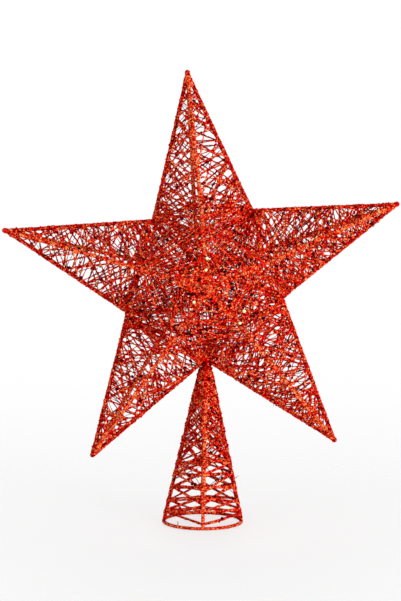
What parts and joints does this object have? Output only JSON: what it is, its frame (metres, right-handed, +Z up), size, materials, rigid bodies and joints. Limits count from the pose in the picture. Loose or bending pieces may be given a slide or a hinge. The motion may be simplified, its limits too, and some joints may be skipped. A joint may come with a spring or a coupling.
{
  "type": "christmas tree topper star",
  "caption": "Wire-frame star tree topper, peaked front and back, wound with glittered red thread, standing on an open wire cone that slips over a tree's tip.",
  "frame": {"origin": "centre of the base ring, on the plane that the ring rests on", "axes": "+Z up along the cone, -Y out of the star's front face, +X to the right seen from the front"},
  "size_m": [0.2476, 0.0772, 0.286],
  "materials": {
    "outline_wire": "steel wire under red glitter",
    "ridge_wire": "steel wire under red and orange glitter",
    "peak_weld": "weld bead under red and orange glitter",
    "cone_wire": "steel wire under red glitter",
    "arm_thread": "thread coated with red glitter",
    "web_thread": "thread coated with red glitter",
    "cone_thread": "thread coated with red glitter",
    "neck_thread": "thread coated with red glitter"
  },
  "bodies": {
    "root": {"outline_wire_1_left": "outline_wire", "outline_wire_1_right": "outline_wire", "outline_wire_2_left": "outline_wire", "outline_wire_2_right": "outline_wire", "outline_wire_3_left": "outline_wire", "outline_wire_3_right": "outline_wire", "outline_wire_4_left": "outline_wire", "outline_wire_4_right": "outline_wire", "outline_wire_5_left": "outline_wire", "outline_wire_5_right": "outline_wire", "front_ridge_wire_1": "ridge_wire", "front_ridge_wire_2": "ridge_wire", "front_ridge_wire_3": "ridge_wire", "front_ridge_wire_4": "ridge_wire", "front_ridge_wire_5": "ridge_wire", "back_ridge_wire_1": "ridge_wire", "back_ridge_wire_2": "ridge_wire", "back_ridge_wire_3": "ridge_wire", "back_ridge_wire_4": "ridge_wire", "back_ridge_wire_5": "ridge_wire", "front_peak_weld": "peak_weld", "back_peak_weld": "peak_weld", "base_ring": "cone_wire", "cone_upright_front": "cone_wire", "cone_upright_right": "cone_wire", "cone_upright_back": "cone_wire", "cone_upright_left": "cone_wire", "arm_winding_1": "arm_thread", "arm_winding_2": "arm_thread", "arm_winding_3": "arm_thread", "arm_winding_4": "arm_thread", "arm_winding_5": "arm_thread", "front_web": "web_thread", "back_web": "web_thread", "cone_winding": "cone_thread", "neck_binding": "neck_thread"}
  },
  "joints": []
}
